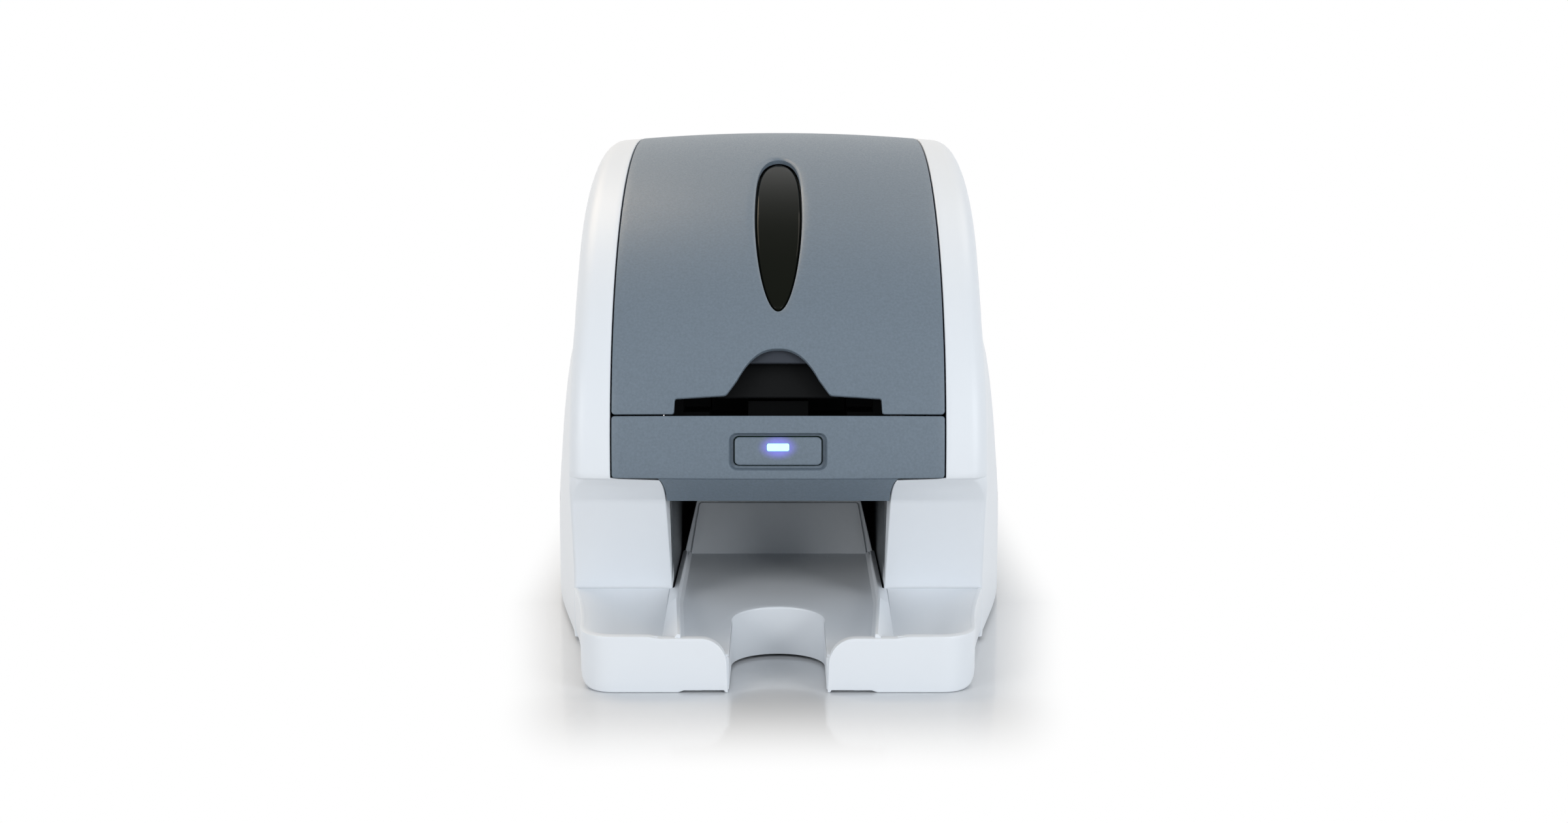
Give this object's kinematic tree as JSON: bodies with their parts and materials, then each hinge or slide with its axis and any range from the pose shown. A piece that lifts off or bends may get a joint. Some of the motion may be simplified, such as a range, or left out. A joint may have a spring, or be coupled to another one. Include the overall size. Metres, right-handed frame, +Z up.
{
  "type": "id card printer",
  "caption": "Desktop printer for identity cards, with a hinged lid over a card magazine, ribbon and print head, and a slide-out output hopper.",
  "frame": {"origin": "on the floor below the middle of the printer's length and width", "axes": "+Z up, the front faces -Y, +X is the viewer's right when facing the front"},
  "size_m": [0.2, 0.39, 0.205],
  "materials": {
    "cover_white": "satin",
    "lid_grey": "fine texture",
    "window_black": "gloss",
    "black_plastic": "matte",
    "chassis_steel": "matte",
    "bright_steel": "satin",
    "bush_brass": "satin",
    "gear_nylon": "satin",
    "aluminium": "satin",
    "roller_rubber": "matte",
    "cleaning_blue": "satin",
    "board_green": "satin",
    "ribbon_purple": "gloss",
    "light_blue": "gloss"
  },
  "bodies": {
    "chassis": {"base_pan": "black_plastic", "rubber_feet": "roller_rubber", "left_side_cover": "cover_white", "right_side_cover": "cover_white", "rear_cover": "cover_white", "front_panel": "lid_grey", "left_chassis_plate": "chassis_steel", "right_chassis_plate": "chassis_steel", "cross_bars": "bright_steel", "roller_bushes": "bush_brass", "hinge_pins": "bright_steel", "card_magazine": "black_plastic", "magazine_gate": "bright_steel", "card_guide": "black_plastic", "exit_guide": "black_plastic", "main_board": "board_green", "board_components": "black_plastic", "board_screws": "bright_steel", "cover_screws": "bright_steel", "usb_port": "bright_steel", "network_port": "bright_steel", "power_inlet": "black_plastic", "switch_housing": "black_plastic", "status_board": "board_green", "drive_motor": "bright_steel", "drive_belts": "roller_rubber", "ribbon_motor": "bright_steel", "ribbon_frame": "gear_nylon", "ribbon_film": "ribbon_purple"},
    "lid": {"lid_shell": "lid_grey", "lid_window": "window_black", "lid_frame": "black_plastic"},
    "print_head": {"print_head": "aluminium"},
    "hopper": {"output_hopper": "cover_white", "hopper_back_wall": "cover_white"},
    "button": {"front_button": "lid_grey", "status_light": "light_blue"},
    "rocker": {"power_rocker": "black_plastic"},
    "platen": {"platen_roller": "roller_rubber", "platen_shaft": "bright_steel", "platen_gear": "gear_nylon", "platen_pulley": "aluminium"},
    "feed": {"feed_roller": "roller_rubber", "feed_shaft": "bright_steel", "feed_pulleys": "aluminium"},
    "pick": {"pick_roller": "roller_rubber", "pick_shaft": "bright_steel", "pick_pulley": "aluminium"},
    "exit": {"exit_roller": "roller_rubber", "exit_shaft": "bright_steel", "exit_pulley": "aluminium"},
    "pinch": {"pinch_roller": "roller_rubber"},
    "cleaner": {"cleaning_roller": "cleaning_blue"},
    "motor_pinion": {"drive_pinion": "bush_brass"},
    "takeup": {"takeup_gear": "gear_nylon", "takeup_spool": "black_plastic"},
    "takeup_pinion": {"ribbon_pinion": "bush_brass"},
    "supply": {"supply_spool": "black_plastic"},
    "weight": {"card_weight": "black_plastic"},
    "flap": {"diverter_flap": "black_plastic"}
  },
  "joints": [
    {"name": "lid_hinge", "type": "hinge", "parent": "chassis", "child": "lid", "pos_m": [0, 0.148, 0.18386], "axis": [-1, 0, 0], "range_deg": [0, 75]},
    {"name": "head_pivot", "type": "hinge", "parent": "lid", "child": "print_head", "pos_m": [0, 0.033, 0.133], "axis": [1, 0, 0], "range_deg": [-2, 2], "stiffness_Nm_per_rad": 3},
    {"name": "hopper_slide", "type": "slide", "parent": "chassis", "child": "hopper", "axis": [0, -1, 0], "range_m": [0, 0.07]},
    {"name": "button_press", "type": "slide", "parent": "chassis", "child": "button", "axis": [0, 1, 0], "range_m": [0, 0.0015], "stiffness_N_per_m": 300},
    {"name": "rocker_tilt", "type": "hinge", "parent": "chassis", "child": "rocker", "pos_m": [0, 0.19, 0.043], "axis": [-1, 0, 0], "range_deg": [0, 16]},
    {"name": "platen_spin", "type": "hinge", "parent": "chassis", "child": "platen", "pos_m": [0, 0.033, 0.084], "axis": [1, 0, 0], "continuous": true},
    {"name": "feed_spin", "type": "hinge", "parent": "chassis", "child": "feed", "pos_m": [0, -0.02, 0.084], "axis": [1, 0, 0], "continuous": true},
    {"name": "pick_spin", "type": "hinge", "parent": "chassis", "child": "pick", "pos_m": [0, -0.06, 0.084], "axis": [1, 0, 0], "continuous": true},
    {"name": "exit_spin", "type": "hinge", "parent": "chassis", "child": "exit", "pos_m": [0, -0.03097, 0.04886], "axis": [1, 0, 0], "continuous": true},
    {"name": "pinch_spin", "type": "hinge", "parent": "chassis", "child": "pinch", "pos_m": [0, -0.02, 0.0978], "axis": [1, 0, 0], "continuous": true},
    {"name": "cleaner_spin", "type": "hinge", "parent": "chassis", "child": "cleaner", "pos_m": [0, 0.002, 0.0988], "axis": [1, 0, 0], "continuous": true},
    {"name": "motor_spin", "type": "hinge", "parent": "chassis", "child": "motor_pinion", "pos_m": [0, 0.04087, 0.05464], "axis": [1, 0, 0], "continuous": true},
    {"name": "takeup_spin", "type": "hinge", "parent": "chassis", "child": "takeup", "pos_m": [0, 0.075, 0.118], "axis": [1, 0, 0], "continuous": true},
    {"name": "takeup_motor_spin", "type": "hinge", "parent": "chassis", "child": "takeup_pinion", "pos_m": [0, 0.10021, 0.11356], "axis": [1, 0, 0], "continuous": true},
    {"name": "supply_spin", "type": "hinge", "parent": "chassis", "child": "supply", "pos_m": [0, -0.02, 0.122], "axis": [1, 0, 0], "continuous": true},
    {"name": "weight_lift", "type": "slide", "parent": "chassis", "child": "weight", "axis": [0, 0, 1], "range_m": [0, 0.04]},
    {"name": "flap_tilt", "type": "hinge", "parent": "chassis", "child": "flap", "pos_m": [0, 0.0155, 0.0865], "axis": [-1, 0, 0], "range_deg": [0, 10], "stiffness_Nm_per_rad": 0.02}
  ],
  "couplings": [
    {"joint": "motor_spin", "follows": "platen_spin", "ratio": -3.75},
    {"joint": "feed_spin", "follows": "platen_spin", "ratio": 1},
    {"joint": "pick_spin", "follows": "platen_spin", "ratio": 1},
    {"joint": "exit_spin", "follows": "platen_spin", "ratio": 1},
    {"joint": "takeup_motor_spin", "follows": "takeup_spin", "ratio": -3}
  ]
}
